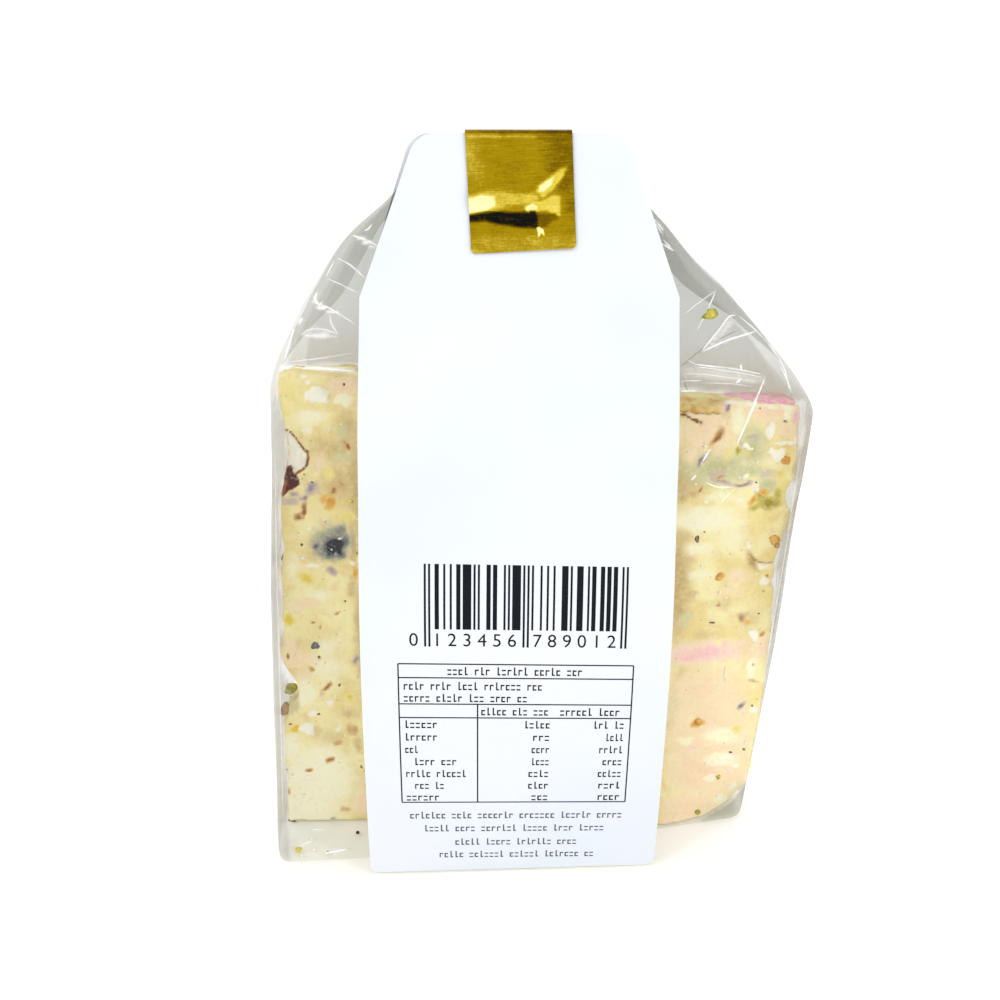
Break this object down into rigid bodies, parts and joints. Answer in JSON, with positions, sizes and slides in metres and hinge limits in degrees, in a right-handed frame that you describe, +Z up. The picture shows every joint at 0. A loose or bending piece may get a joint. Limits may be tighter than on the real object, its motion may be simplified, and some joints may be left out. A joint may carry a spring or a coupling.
{
  "type": "packed rocky road",
  "caption": "Slab of white chocolate rocky road in a clear gusseted bag, shut between two tall white hanging cards with a gold foil seal folded over their top edge.",
  "frame": {"origin": "under the middle of the whole pack, on the table that it stands on", "axes": "+Z up from the base to the top edge of the cards, the printed card faces -Y, +X to the right seen from the printed side"},
  "size_m": [0.1235, 0.0573, 0.1634],
  "materials": {
    "film": "clear, thin and crinkled",
    "card": "smooth coated white card",
    "foil": "brushed gold foil, creased"
  },
  "bodies": {
    "root": {"bag": "film", "printed_card": "card", "plain_card": "card", "seal": "foil"}
  },
  "joints": []
}
